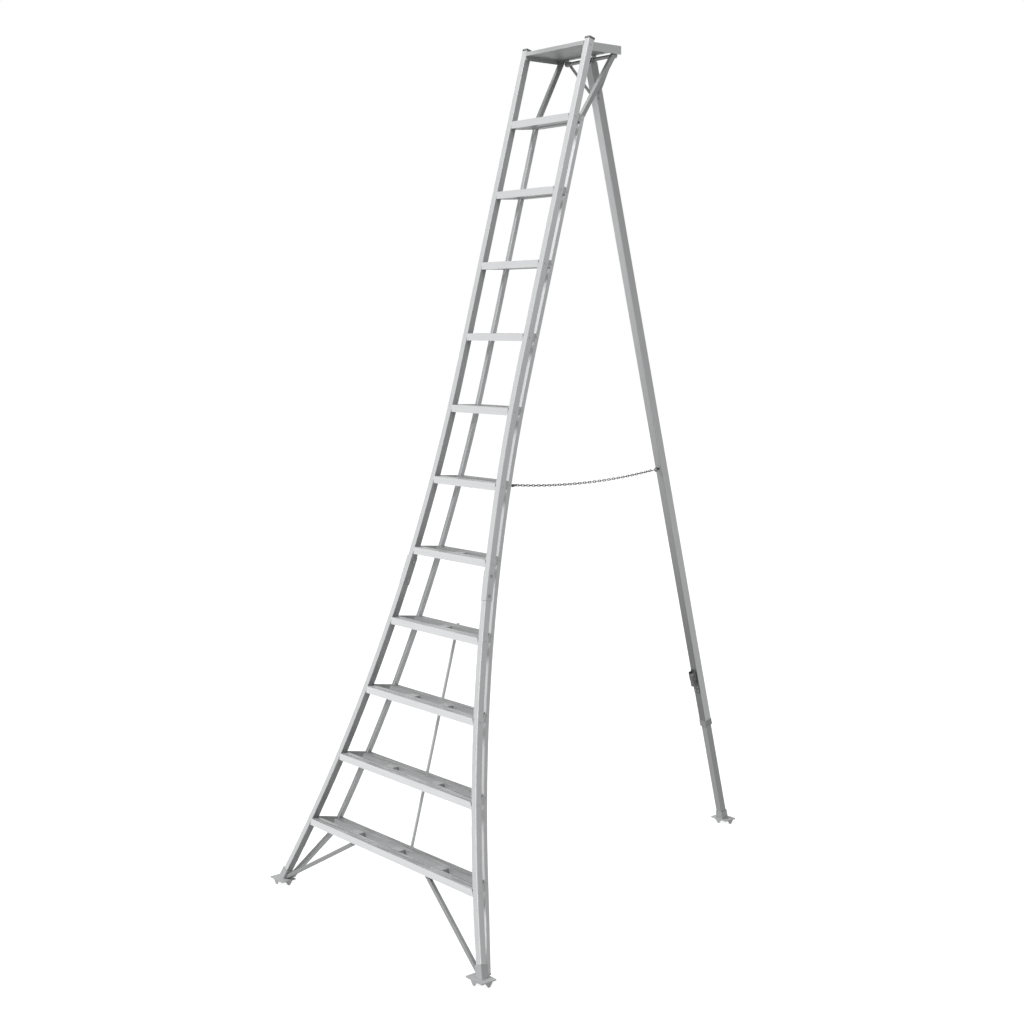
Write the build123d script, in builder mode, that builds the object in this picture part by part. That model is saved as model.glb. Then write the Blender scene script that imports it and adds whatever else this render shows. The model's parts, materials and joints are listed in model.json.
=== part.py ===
from build123d import *
import os
from math import asin, atan2, cos, degrees, radians, sin, sqrt, tan

os.makedirs("parts", exist_ok=True)

# Orchard tripod ladder, in millimetres. +X is the climber's right, +Y points back to the rear leg and
# +Z is up. The origin is on the ground, midway between the front feet and the rear foot.

# Overall stance
spread = 2100.0
lean = radians(15.6)
front_foot_y = -spread / 2
rear_foot_y = spread / 2

# Stiles: a front tube and a thinner rear rail on each side, straight at the top and flared below
top_half_width = 198.0
foot_half_width = 708.0
bend_start = 2362.0
front_tube = 30.0
front_wall = 2.0
rear_rail = 20.0
rail_wall = 1.8
rail_inset = 56.5
rail_setback = 88.4
tube_corner = 3.0

# Steps: two ribbed bars on each, held apart at the ends by links and lower down by spacers
step_count = 11
rise = 300.0
first_step_height = 280.0
bar_depth = 40.0
bar_height = 30.0
bar_wall = 2.0
rib_count = 6
rib_gap = 2.6
rib_depth = 1.2
link_width = 14.0
link_wall = 3.0
link_shift = 4.0
spacer_width = 50.0
spacer_height = 24.0
spacer_wall = 2.5
spacer_places = {1: (-290.0, 0.0, 290.0), 2: (-158.0, 158.0), 3: (-112.0, 112.0), 4: (0.0,), 5: (0.0,)}

# Platform and its hinge for the leg
plank_count = 4
plank_height = 16.0
plank_gap = 1.0
platform_depth = 217.0
platform_height = 35.0
platform_drop = 7.0
side_frame = 4.0
stub_height = 10.0
cap_height = 12.0
cap_wall = 2.0
cap_overhang = 1.5
cap_skirt = 5.0
cap_gap = 0.1
hinge_drop = 19.0
hinge_inset = 5.8
hinge_plate = 3.0
hinge_plate_end = 6.0
ear_thickness = 4.0
ear_radius = 12.0
ear_places = (26.0, 148.0)
shaft_radius = 8.0
shaft_head = 12.0
shaft_head_height = 5.0
sleeve_wall = 3.0
running = 0.05

# Rear leg: an outer tube, and an inner tube that slides in it
leg_tube = 40.0
leg_wall = 2.0
leg_head = 14.0
cheek_radius = 12.0
leg_outer_length = 3151.0
leg_inner_tube = 34.0
leg_overlap = 600.0
slide_gap = 0.6
collar_wall = 1.5
collar_height = 30.0
collar_lip = 4.0
stay_width = 12.0
stay_thickness = 5.0
stay_drop = 156.0
stay_shift = 9.0
stay_meet = 9.5
stay_tab_width = 16.0
stay_tab_length = 34.0
stay_sleeve = 16.0
stay_play = 0.5
stay_bolt_radius = 3.0

# Cam lock on the leg
lock_setback = 267.0
lock_plate_length = 120.0
lock_plate = 3.0
lock_plate_width = 34.0
lock_ear_height = 22.0
lock_ear_length = 44.0
lock_pin_height = 13.0
lock_pin_radius = 3.0
lock_pin_spare = 2.0
lock_play = 1.0
cam_radius = 13.0
cam_clearance = 0.3
lever_width = 21.0
lever_length = 52.0
lever_thickness = 5.0
lever_round = 2.2
lock_window = 26.0

# Feet: a flat pad with turned-down claws and a collar that the tube stands in
pad_width = 100.0
pad_depth = 72.0
pad_height = 18.0
pad_thickness = 4.0
claw_width = 34.0
claw_tip = 8.0
socket_wall = 3.0
socket_height = 40.0
socket_gap = 0.2

# Braces
brace_tube = 16.0
brace_wall = 1.5
brace_reach = 248.0
brace_foot_height = 38.5
brace_clear = 1.0
brace_top_inset = 17.0
toe_setback = 32.0
toe_bend_height = 262.0
stay_rod_radius = 6.5
stay_rod_steps = (1, 4)
clip_thickness = 2.0
clip_height = 14.0
clip_flange = 11.0

# Splice between the upper and lower front tubes
splice_height = 1408.0
splice_length = 120.0
splice_wall = 1.5
splice_gap = 0.2
splice_bolt_radius = 4.0
splice_bolt_pitch = 80.0

# Fasteners
rivet_radius = 2.4
rivet_head_radius = 5.5
rivet_head_height = 2.4
rivet_round = 1.9
bolt_head_ratio = 1.6
head_seat = 0.01

# Chain between the right rear rail and the leg
chain_step = 6
chain_wire = 3.0
chain_width = 11.0
chain_pitch = 18.0
chain_play = 0.3
chain_sag = 22.0
chain_swing_tilt = radians(38.0)
lug_radius = 6.5
lug_thickness = 4.0
lug_standoff = 15.0
shackle_pin = 3.0
shackle_bar = 2.25
shackle_half = 8.5
shackle_reach = 22.0
eye_ring = 10.5
eye_wire = 2.5
eye_stem = 6.0
eye_base = 5.5
hook_radius = 6.5
hook_small = 5.0
hook_wire = 2.0
hook_span = 24.0
hook_slack = 0.6
hook_opening = 60.0

# Directions of the ladder's plane: up the stiles, and square to them towards the back
side_ways = Vector(1, 0, 0)
plumb = Vector(0, 0, 1)
up_slope = Vector(0, sin(lean), cos(lean))
back = Vector(0, cos(lean), -sin(lean))
front_foot = Vector(0, front_foot_y, 0)

# Radius of the flare, from the half widths at its two ends
flare_out = foot_half_width - top_half_width
flare_radius = (bend_start**2 + flare_out**2) / (2 * flare_out)
flare_axis = Axis(front_foot + side_ways * (top_half_width + flare_radius) + up_slope * bend_start, -back)


def slope_at(height, setback=0.0):
    """Distance up the slope at which a line, set back from the stiles, reaches a height."""
    return (height + setback * sin(lean)) / cos(lean)


def plane_y(height):
    """Y of the stile plane at a height."""
    return front_foot_y + height * tan(lean)


def flare_angle(slope, inset=0.0):
    """Outward turn of a stile line, in degrees, at a distance up the slope."""
    return degrees(asin(max(0.0, bend_start - slope) / (flare_radius + inset)))


def reach(slope, inset=0.0):
    """Distance of a stile line from the middle of the ladder."""
    radius = flare_radius + inset
    below = max(0.0, bend_start - slope)
    return top_half_width + flare_radius - sqrt(radius**2 - below**2)


def stile_section(slope, inset=0.0, setback=0.0):
    """Plane across the right stile: x points outwards, y to the back and z up the stile."""
    turn = radians(flare_angle(slope, inset))
    origin = front_foot + side_ways * reach(slope, inset) + up_slope * slope + back * setback
    outward = side_ways * cos(turn) + up_slope * sin(turn)
    upward = up_slope * cos(turn) - side_ways * sin(turn)
    return Plane(origin=origin, x_dir=outward, z_dir=upward)


def square_ring(size, wall, corner):
    """Square tube section with rounded corners, drawn in the sketch that is open."""
    RectangleRounded(size, size, corner)
    Rectangle(size - 2 * wall, size - 2 * wall, mode=Mode.SUBTRACT)


def stile_tube(size, wall, low, high, inset=0.0, setback=0.0, corner=tube_corner):
    """Tube along the right stile: straight above the flare, an arc below it."""
    start = min(high, bend_start)
    with BuildPart() as tube:
        with BuildSketch(stile_section(start, inset, setback)) as ring:
            square_ring(size, wall, corner)
        if high > bend_start:
            extrude(ring.sketch, amount=high - bend_start)
        if low < bend_start:
            arc = flare_angle(low, inset) - flare_angle(start, inset)
            revolve(ring.sketch, axis=flare_axis, revolution_arc=arc)
    return tube


def side_plane(slope, size, inset=0.0, setback=0.0, outer=True):
    """Plane on the outer or inner side face of a stile tube, with z square to that face."""
    section = stile_section(slope, inset, setback)
    way = 1 if outer else -1
    origin = section.origin + section.x_dir * (way * size / 2)
    return Plane(origin=origin, x_dir=section.z_dir, z_dir=section.x_dir * way)


def mirrored(builder):
    """The left-hand twin of a finished right-hand piece."""
    with BuildPart() as twin:
        mirror(builder.part, about=Plane.YZ)
    return twin


def tube_between(start, end, size, wall, x_dir, spare=60.0):
    """Square tube along a line, longer than it by a spare length at both ends."""
    line = (end - start).normalized()
    with BuildPart() as tube:
        with BuildSketch(Plane(origin=start - line * spare, x_dir=x_dir, z_dir=line)):
            square_ring(size, wall, tube_corner * size / front_tube)
        extrude(amount=(end - start).length + 2 * spare)
    return tube


# Heights of the step undersides, from the ground up, and of the platform
step_heights = [first_step_height + rise * i for i in range(step_count)]
platform_under = first_step_height + rise * step_count - platform_drop
platform_top = platform_under + platform_height
plank_under = platform_top - plank_height
step_slopes = [slope_at(height + bar_height / 2) for height in step_heights]
rail_slopes = [slope_at(height + bar_height / 2, rail_setback) for height in step_heights]
platform_slope = slope_at(platform_under + platform_height / 2)

# Hinge and leg directions: down the leg, and square to it towards the climber
front_face_shift = front_tube / 2 / cos(lean)
platform_front = plane_y(platform_under + platform_height / 2) - front_face_shift
platform_rear = platform_front + platform_depth
hinge = Vector(0, platform_rear - hinge_inset, plank_under - hinge_drop)
leg_lean = atan2(rear_foot_y - hinge.Y, hinge.Z)
down_leg = Vector(0, sin(leg_lean), -cos(leg_lean))
leg_front = Vector(0, -cos(leg_lean), -sin(leg_lean))
leg_length = hinge.Z / cos(leg_lean)
pad_top = pad_height + pad_thickness


def leg_plane(distance):
    """Plane across the leg: x sideways, y to the leg's front face and z down the leg."""
    return Plane(origin=hinge + down_leg * distance, x_dir=side_ways, z_dir=down_leg)


# Rivet with a domed head, drawn with its head on +Z
with BuildPart() as rivet:
    Cylinder(rivet_radius - running, 2 * front_wall, align=(Align.CENTER, Align.CENTER, Align.MAX))
    Cylinder(rivet_head_radius, rivet_head_height, align=(Align.CENTER, Align.CENTER, Align.MIN))
    fillet(rivet.edges().group_by(Axis.Z)[-1], radius=rivet_round)

# Places of the rivets that hold the step bars, on the outer faces of tubes and rails
seated_tube = front_tube + 2 * head_seat
seated_rail = rear_rail + 2 * head_seat
tube_rivets = [side_plane(slope, seated_tube) for slope in step_slopes]
rail_rivets = [side_plane(slope, seated_rail, rail_inset, rail_setback) for slope in rail_slopes]
platform_rivets = [side_plane(platform_slope, seated_tube)]

# Places of the splice bolts, on the outer face of the front tube
splice_slope = slope_at(splice_height)
splice_bolts_at = [splice_slope + way * splice_bolt_pitch / 2 for way in (-1, 1)]
splice_faces = [side_plane(slope, front_tube) for slope in splice_bolts_at]

# Front tubes, each in a lower flared length and an upper length that meet inside the splice
tube_top = slope_at(platform_top + stub_height)
with BuildPart() as right_front_tube_lower:
    add(stile_tube(front_tube, front_wall, slope_at(-pad_height), splice_slope).part)
    split(bisect_by=Plane.XY.offset(pad_top), keep=Keep.TOP)
    with Locations(*[place for place in tube_rivets if place.origin.Z < splice_height]):
        Cylinder(rivet_radius, 3 * front_wall, mode=Mode.SUBTRACT)
    with Locations(splice_faces[0]):
        Cylinder(splice_bolt_radius, 3 * front_tube, mode=Mode.SUBTRACT)
left_front_tube_lower = mirrored(right_front_tube_lower)

with BuildPart() as right_front_tube_upper:
    add(stile_tube(front_tube, front_wall, splice_slope, tube_top).part)
    with Locations(*[place for place in tube_rivets + platform_rivets if place.origin.Z > splice_height]):
        Cylinder(rivet_radius, 3 * front_wall, mode=Mode.SUBTRACT)
    with Locations(splice_faces[1]):
        Cylinder(splice_bolt_radius, 3 * front_tube, mode=Mode.SUBTRACT)
left_front_tube_upper = mirrored(right_front_tube_upper)

for side, tube in (("right", right_front_tube_lower), ("left", left_front_tube_lower)):
    tube.part.label = f"{side}_front_tube_lower"
    export_step(tube.part, f"parts/{side}_front_tube_lower.step")
for side, tube in (("right", right_front_tube_upper), ("left", left_front_tube_upper)):
    tube.part.label = f"{side}_front_tube_upper"
    export_step(tube.part, f"parts/{side}_front_tube_upper.step")

# Splice sleeves, bent with the tube, and the bolts through them
sleeve_size = front_tube + 2 * (splice_gap + splice_wall)
sleeve_ends = (splice_slope - splice_length / 2, splice_slope + splice_length / 2)
with BuildPart() as splice_sleeves:
    add(stile_tube(sleeve_size, splice_wall, *sleeve_ends).part)
    with Locations(*splice_faces):
        Cylinder(splice_bolt_radius, 3 * front_tube, mode=Mode.SUBTRACT)
    mirror(about=Plane.YZ)
splice_sleeves.part.label = "splice_sleeves"
export_step(splice_sleeves.part, "parts/splice_sleeves.step")

bolt_head = bolt_head_ratio * splice_bolt_radius
bolt_grip = sleeve_size + 2 * head_seat
with BuildPart() as splice_bolt:
    Cylinder(splice_bolt_radius - running, bolt_grip, align=(Align.CENTER, Align.CENTER, Align.MAX))
    with BuildSketch(Plane.XY):
        RegularPolygon(bolt_head, 6)
    extrude(amount=splice_bolt_radius)
    with BuildSketch(Plane.XY.offset(-bolt_grip)):
        RegularPolygon(bolt_head, 6)
    extrude(amount=-splice_bolt_radius)
with BuildPart() as splice_bolts:
    with Locations(*[side_plane(slope, bolt_grip) for slope in splice_bolts_at]):
        add(splice_bolt.part)
    mirror(about=Plane.YZ)
splice_bolts.part.label = "splice_bolts"
export_step(splice_bolts.part, "parts/splice_bolts.step")

# Rear rails: along the stiles from the top step down to the bottom one, a short straight end, and a
# mitred toe from there to the foot
toe_join = stile_section(slope_at(toe_bend_height, rail_setback), rail_inset, rail_setback)
toe_bend = toe_join.origin - toe_join.z_dir * rear_rail
toe_foot_y = plane_y(pad_top) + toe_setback / cos(lean)
toe_foot = Vector(reach(slope_at(pad_top)) - rear_rail / 2, toe_foot_y, pad_top)
toe_line = (toe_foot - toe_bend).normalized()
mitre = Plane(origin=toe_bend, z_dir=toe_join.z_dir - toe_line)
rail_top_height = step_heights[-1] + bar_height
with BuildPart() as rail_end:
    with BuildSketch(toe_join) as end_ring:
        square_ring(rear_rail, rail_wall, tube_corner)
    extrude(end_ring.sketch, amount=-2 * rear_rail)
    split(bisect_by=mitre, keep=Keep.TOP)
with BuildPart() as rail_toe:
    with BuildSketch(toe_join) as toe_ring:
        square_ring(rear_rail, rail_wall, tube_corner)
    extrude(toe_ring.sketch, amount=(toe_foot - toe_bend).length)
    extrude(toe_ring.sketch, amount=-2 * rear_rail)
    split(bisect_by=mitre, keep=Keep.TOP)
    mirror(about=mitre, mode=Mode.REPLACE)
    split(bisect_by=Plane.XY.offset(pad_top), keep=Keep.TOP)
with BuildPart() as right_rear_rail:
    rail_low = slope_at(toe_bend_height, rail_setback)
    rail_high = slope_at(rail_top_height + rear_rail, rail_setback)
    add(stile_tube(rear_rail, rail_wall, rail_low, rail_high, rail_inset, rail_setback).part)
    split(bisect_by=Plane.XY.offset(rail_top_height), keep=Keep.BOTTOM)
    add(rail_end.part)
    add(rail_toe.part)
    with Locations(*rail_rivets):
        Cylinder(rivet_radius, 3 * rail_wall, mode=Mode.SUBTRACT)
left_rear_rail = mirrored(right_rear_rail)
for side, rail in (("right", right_rear_rail), ("left", left_rear_rail)):
    rail.part.label = f"{side}_rear_rail"
    export_step(rail.part, f"parts/{side}_rear_rail.step")


def ribbed_section(depth, height, wall):
    """Hollow bar section with its foot at the sketch's origin and grooves along the top."""
    with Locations((0, height / 2)):
        Rectangle(depth, height)
        Rectangle(depth - 2 * wall, height - 2 * wall, mode=Mode.SUBTRACT)
    with Locations((0, height - rib_depth / 2)):
        with GridLocations(depth / rib_count, 1, rib_count - 1, 1):
            Rectangle(rib_gap, rib_depth, mode=Mode.SUBTRACT)


def step_bar(middle_y, height, end_face):
    """Step bar along X, cut at both ends to the slanted inner face of its tube."""
    with BuildPart() as bar:
        with BuildSketch(Plane(origin=(0, middle_y, height), x_dir=(0, 1, 0), z_dir=(1, 0, 0))):
            ribbed_section(bar_depth, bar_height, bar_wall)
        extrude(amount=2 * end_face.origin.X)
        split(bisect_by=end_face, keep=Keep.TOP)
        mirror(about=Plane.YZ)
    return bar


# Step bars: the front one between the front tubes, the rear one between the rear rails
rear_face_shift = (rail_setback + rear_rail / 2) / cos(lean)
front_bar_shift = bar_depth / 2 - front_face_shift
rear_bar_shift = rear_face_shift - bar_depth / 2
for number, height in enumerate(step_heights, start=1):
    stile_y = plane_y(height + bar_height / 2)
    front_end = side_plane(step_slopes[number - 1], front_tube, outer=False)
    front_bar = step_bar(stile_y + front_bar_shift, height, front_end)
    front_bar.part.label = f"step_{number:02d}_front_bar"
    export_step(front_bar.part, f"parts/step_{number:02d}_front_bar.step")
    rear_end = side_plane(rail_slopes[number - 1], rear_rail, rail_inset, rail_setback, outer=False)
    rear_bar = step_bar(stile_y + rear_bar_shift, height, rear_end)
    rear_bar.part.label = f"step_{number:02d}_rear_bar"
    export_step(rear_bar.part, f"parts/step_{number:02d}_rear_bar.step")

# End links: hollow blocks that join each front tube to its rear rail at every step
link_near = front_tube / 2
link_far = rail_setback - rear_rail / 2
link_half = link_width / 2
link_hole = link_half - link_wall
link_slant = -rail_inset / (link_far - link_near)


def end_link(slope, height):
    """Hollow block from the front tube back to the rear rail, cut level with a step bar."""
    with BuildPart() as link:
        with BuildSketch(stile_section(slope)):
            for half, inset in ((link_half, 0.0), (link_hole, link_wall)):
                near_x = link_shift + link_slant * inset
                far_x = link_shift - rail_inset - link_slant * inset
                Polygon(
                    (near_x - half, link_near + inset), (near_x + half, link_near + inset),
                    (far_x + half, link_far - inset), (far_x - half, link_far - inset),
                    align=None, mode=Mode.SUBTRACT if inset else Mode.ADD,
                )
        extrude(amount=2 * bar_height, both=True)
        split(bisect_by=Plane.XY.offset(height), keep=Keep.TOP)
        split(bisect_by=Plane.XY.offset(height + bar_height), keep=Keep.BOTTOM)
    return link


with BuildPart() as step_links:
    for height, slope in zip(step_heights, step_slopes):
        add(end_link(slope, height).part)
    mirror(about=Plane.YZ)
step_links.part.label = "step_links"
export_step(step_links.part, "parts/step_links.step")

# Spacers between the two bars of the lower steps
spacer_front = front_bar_shift + bar_depth / 2
spacer_depth = rear_bar_shift - bar_depth / 2 - spacer_front
spacer_hole_width = spacer_width - 2 * spacer_wall
spacer_hole_height = spacer_height - 2 * spacer_wall
with BuildPart() as step_spacers:
    for number, places in spacer_places.items():
        middle = step_heights[number - 1] + bar_height / 2
        centre_y = plane_y(middle) + spacer_front + spacer_depth / 2
        for place in places:
            with BuildSketch(Plane(origin=(place, centre_y, middle), x_dir=(1, 0, 0), z_dir=(0, 1, 0))):
                Rectangle(spacer_width, spacer_height)
                Rectangle(spacer_hole_width, spacer_hole_height, mode=Mode.SUBTRACT)
            extrude(amount=spacer_depth / 2, both=True)
step_spacers.part.label = "step_spacers"
export_step(step_spacers.part, "parts/step_spacers.step")

# Rivets that hold the step bars and the platform to the stiles
with BuildPart() as step_rivets:
    with Locations(*tube_rivets, *rail_rivets, *platform_rivets):
        add(rivet.part)
    mirror(about=Plane.YZ)
step_rivets.part.label = "step_rivets"
export_step(step_rivets.part, "parts/step_rivets.step")

# Tie rod behind the lower steps, with a clip round it on each rear bar
rod_low = step_heights[stay_rod_steps[0] - 1]
rod_high = step_heights[stay_rod_steps[1] - 1] + bar_height
rod_shift = rear_face_shift + (stay_rod_radius + running) / cos(lean) + bar_height / 2 * tan(lean)
rod_start = Vector(0, plane_y(rod_low) + rod_shift, rod_low)
rod_end = Vector(0, plane_y(rod_high) + rod_shift, rod_high)
with BuildPart() as tie_rod:
    with BuildSketch(Plane(origin=rod_start, x_dir=side_ways, z_dir=up_slope)):
        Circle(stay_rod_radius)
    extrude(amount=(rod_end - rod_start).length)
tie_rod.part.label = "tie_rod"
export_step(tie_rod.part, "parts/tie_rod.step")

saddle = stay_rod_radius + running
clip_half = saddle + clip_thickness
with BuildPart() as tie_rod_clips:
    for number in range(stay_rod_steps[0], stay_rod_steps[1] + 1):
        middle = step_heights[number - 1] + bar_height / 2
        face_y = plane_y(middle) + rear_face_shift
        rod_y = plane_y(middle) + rod_shift
        with BuildSketch(Plane.XY.offset(middle - clip_height / 2)):
            with Locations((0, (face_y + rod_y) / 2)):
                Rectangle(2 * clip_half, rod_y - face_y)
            with Locations((0, face_y + clip_thickness / 2)):
                Rectangle(2 * (clip_half + clip_flange), clip_thickness)
        extrude(amount=clip_height)
        with BuildSketch(Plane(origin=(0, rod_y, middle), x_dir=side_ways, z_dir=up_slope)):
            Circle(clip_half)
        extrude(amount=clip_height / 2, both=True)
    with BuildSketch(Plane(origin=rod_start - up_slope * rise, x_dir=side_ways, z_dir=up_slope)):
        Circle(saddle)
    extrude(amount=(rod_end - rod_start).length + 2 * rise, mode=Mode.SUBTRACT)
tie_rod_clips.part.label = "tie_rod_clips"
export_step(tie_rod_clips.part, "parts/tie_rod_clips.step")

# Foot braces: from the corner between the foot's pad and collar to the underside of the bottom step
socket_size = front_tube + 2 * (socket_gap + socket_wall)
brace_wall_plane = side_plane(slope_at(brace_foot_height), socket_size, outer=False)
brace_low = brace_wall_plane.origin
brace_high = Vector(
    brace_reach, plane_y(first_step_height + bar_height / 2) + front_bar_shift, first_step_height
)
with BuildPart() as foot_braces:
    add(tube_between(brace_low, brace_high, brace_tube, brace_wall, Vector(0, 1, 0)).part)
    split(bisect_by=brace_wall_plane, keep=Keep.TOP)
    split(bisect_by=Plane.XY.offset(pad_top), keep=Keep.TOP)
    split(bisect_by=Plane.XY.offset(first_step_height), keep=Keep.BOTTOM)
    mirror(about=Plane.YZ)
foot_braces.part.label = "foot_braces"
export_step(foot_braces.part, "parts/foot_braces.step")

# Feet


def clawed_pad(centre):
    """Flat pad with a pointed claw turned down on each of its four sides."""
    with BuildPart() as pad:
        with BuildSketch(Plane(origin=centre + Vector(0, 0, pad_height))):
            RectangleRounded(pad_width, pad_depth, pad_thickness)
        extrude(amount=pad_thickness)
        for way in (-1, 1):
            for across, half in ((side_ways, pad_width / 2), (Vector(0, 1, 0), pad_depth / 2)):
                outer = centre + across * (way * half)
                with BuildSketch(Plane(origin=outer, x_dir=across.cross(plumb) * way, z_dir=-across * way)):
                    Polygon(
                        (-claw_tip / 2, 0), (claw_tip / 2, 0),
                        (claw_width / 2, pad_height), (claw_width / 2, pad_top),
                        (-claw_width / 2, pad_top), (-claw_width / 2, pad_height),
                        align=None,
                    )
                extrude(amount=pad_thickness)
    return pad


front_pad_centre = Vector(reach(slope_at(pad_top)), front_foot_y, 0)
with BuildPart() as right_socket:
    add(stile_tube(socket_size, socket_wall, slope_at(-pad_height), slope_at(pad_top + socket_height)).part)
    split(bisect_by=Plane.XY.offset(pad_top), keep=Keep.TOP)
with BuildPart() as front_feet:
    add(clawed_pad(front_pad_centre).part)
    add(right_socket.part)
    mirror(about=Plane.YZ)
front_feet.part.label = "front_feet"
export_step(front_feet.part, "parts/front_feet.step")

# Platform: ribbed planks between two side frames
plank_depth = (platform_depth - plank_gap * (plank_count - 1)) / plank_count
frame_face = top_half_width - front_tube / 2
with BuildPart() as platform_planks:
    for number in range(plank_count):
        plank_y = platform_front + plank_depth / 2 + number * (plank_depth + plank_gap)
        with BuildSketch(Plane(origin=(0, plank_y, plank_under), x_dir=(0, 1, 0), z_dir=(1, 0, 0))):
            ribbed_section(plank_depth, plank_height, bar_wall)
        extrude(amount=frame_face - side_frame, both=True)
platform_planks.part.label = "platform_planks"
export_step(platform_planks.part, "parts/platform_planks.step")

with BuildPart() as platform_frames:
    with BuildSketch(Plane(origin=(frame_face, 0, 0), x_dir=(0, 1, 0), z_dir=(1, 0, 0))):
        with Locations(((platform_front + platform_rear) / 2, platform_under + platform_height / 2)):
            Rectangle(platform_depth, platform_height)
    extrude(amount=-side_frame)
    fillet(platform_frames.edges().filter_by(Axis.X), radius=side_frame / 2)
    mirror(about=Plane.YZ)
platform_frames.part.label = "platform_frames"
export_step(platform_frames.part, "parts/platform_frames.step")

# Platform braces: from the top of each rear rail to the underside of the rear plank
brace_start = Vector(
    reach(bend_start, rail_inset), plane_y(rail_top_height) + rail_setback / cos(lean), rail_top_height
)
brace_spread = frame_face - side_frame - brace_clear - rear_rail / 2
brace_end = Vector(brace_spread, platform_rear - brace_top_inset, plank_under)
with BuildPart() as platform_braces:
    add(tube_between(brace_start, brace_end, rear_rail, rail_wall, side_ways).part)
    split(bisect_by=Plane.XY.offset(rail_top_height), keep=Keep.TOP)
    split(bisect_by=Plane.XY.offset(plank_under), keep=Keep.BOTTOM)
    mirror(about=Plane.YZ)
platform_braces.part.label = "platform_braces"
export_step(platform_braces.part, "parts/platform_braces.step")

# Caps on the tops of the front tubes: a rounded head with a skirt round the tube and a plug in it
cap_size = front_tube + 2 * cap_overhang
cap_bore = front_tube + 2 * cap_gap
cap_plug = front_tube - 2 * (front_wall + socket_gap)
with BuildPart() as right_cap:
    with BuildSketch(stile_section(tube_top - cap_skirt)):
        RectangleRounded(cap_size, cap_size, tube_corner + cap_overhang)
    extrude(amount=cap_skirt + cap_wall + cap_overhang)
    fillet(right_cap.faces().sort_by(Axis(front_foot, up_slope))[-1].edges(), radius=cap_wall)
    with BuildSketch(stile_section(tube_top)):
        RectangleRounded(cap_bore, cap_bore, tube_corner)
    extrude(amount=-2 * cap_skirt, mode=Mode.SUBTRACT)
    with BuildSketch(stile_section(tube_top)):
        Rectangle(cap_plug, cap_plug)
    extrude(amount=-cap_height)
with BuildPart() as tube_caps:
    add(right_cap.part)
    mirror(about=Plane.YZ)
tube_caps.part.label = "tube_caps"
export_step(tube_caps.part, "parts/tube_caps.step")

# Hinge plate under the rear plank, with four ears for the shaft
hinge_hole = shaft_radius + running
plate_span = 2 * (ear_places[-1] + hinge_plate_end)
plate_depth = 2 * ear_radius
with BuildPart() as hinge_plate_part:
    with BuildSketch(Plane.XY.offset(plank_under - hinge_plate)):
        with Locations((0, platform_rear - plate_depth / 2)):
            Rectangle(plate_span, plate_depth)
    extrude(amount=hinge_plate)
    for place in ear_places:
        for way in (-1, 1):
            with BuildSketch(Plane(origin=(way * place, 0, 0), x_dir=(0, 1, 0), z_dir=(1, 0, 0))):
                Polygon(
                    (platform_rear - plate_depth, plank_under), (platform_rear, plank_under),
                    (hinge.Y + ear_radius, hinge.Z), (hinge.Y - ear_radius, hinge.Z),
                    align=None,
                )
                with Locations((hinge.Y, hinge.Z)):
                    Circle(ear_radius)
                    Circle(hinge_hole, mode=Mode.SUBTRACT)
            extrude(amount=ear_thickness / 2, both=True)
hinge_plate_part.part.label = "hinge_plate"
export_step(hinge_plate_part.part, "parts/hinge_plate.step")

# Hinge shaft, with a hexagonal head at each end against the outer ears
outer_ear_face = ear_places[-1] + ear_thickness / 2
with BuildPart() as hinge_shaft:
    with BuildSketch(Plane(origin=hinge, x_dir=(0, 1, 0), z_dir=(1, 0, 0))):
        Circle(shaft_radius)
    extrude(amount=outer_ear_face)
    with BuildSketch(Plane(origin=hinge + side_ways * outer_ear_face, x_dir=(0, 1, 0), z_dir=(1, 0, 0))):
        RegularPolygon(shaft_head, 6)
    extrude(amount=shaft_head_height)
    mirror(about=Plane.YZ)
hinge_shaft.part.label = "hinge_shaft"
export_step(hinge_shaft.part, "parts/hinge_shaft.step")

# Outer leg tube: its side walls carry on up as round cheeks on the shaft. It has holes for the shaft and
# the stay bolt, and a window for the lock's cam.
leg_side = leg_tube / 2
lock_at = leg_outer_length - lock_setback
stay_place = hinge + down_leg * stay_drop + leg_front * stay_shift
window = Plane(origin=hinge + down_leg * lock_at + leg_front * leg_side, x_dir=side_ways, z_dir=leg_front)
window_width = lever_width + 2 * lock_play
with BuildPart() as leg_outer:
    with BuildSketch(leg_plane(leg_head)):
        square_ring(leg_tube, leg_wall, tube_corner)
    extrude(amount=leg_outer_length - leg_head)
    for way in (-1, 1):
        cheek = hinge + side_ways * (way * leg_side)
        with BuildSketch(Plane(origin=cheek, x_dir=down_leg, z_dir=-side_ways * way)):
            Circle(cheek_radius)
            with Locations(((leg_head + leg_wall) / 2, 0)):
                Rectangle(leg_head + leg_wall, 2 * cheek_radius)
        extrude(amount=leg_wall)
    with Locations(Plane(origin=hinge, x_dir=(0, 1, 0), z_dir=(1, 0, 0))):
        Cylinder(hinge_hole, 2 * leg_tube, mode=Mode.SUBTRACT)
    with Locations(Plane(origin=stay_place, x_dir=(0, 1, 0), z_dir=(1, 0, 0))):
        Cylinder(stay_bolt_radius, 2 * leg_tube, mode=Mode.SUBTRACT)
    with Locations(window):
        Box(window_width, lock_window, leg_side, mode=Mode.SUBTRACT)
leg_outer.part.label = "leg_outer"
export_step(leg_outer.part, "parts/leg_outer.step")

# Bush between the leg's cheeks that turns on the shaft, and the cap that closes the tube's end below it
with BuildPart() as leg_bush:
    with BuildSketch(Plane(origin=hinge, x_dir=(0, 1, 0), z_dir=(1, 0, 0))):
        Circle(shaft_radius + sleeve_wall)
        Circle(hinge_hole, mode=Mode.SUBTRACT)
    extrude(amount=leg_side - leg_wall, both=True)
leg_bush.part.label = "leg_bush"
export_step(leg_bush.part, "parts/leg_bush.step")

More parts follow.
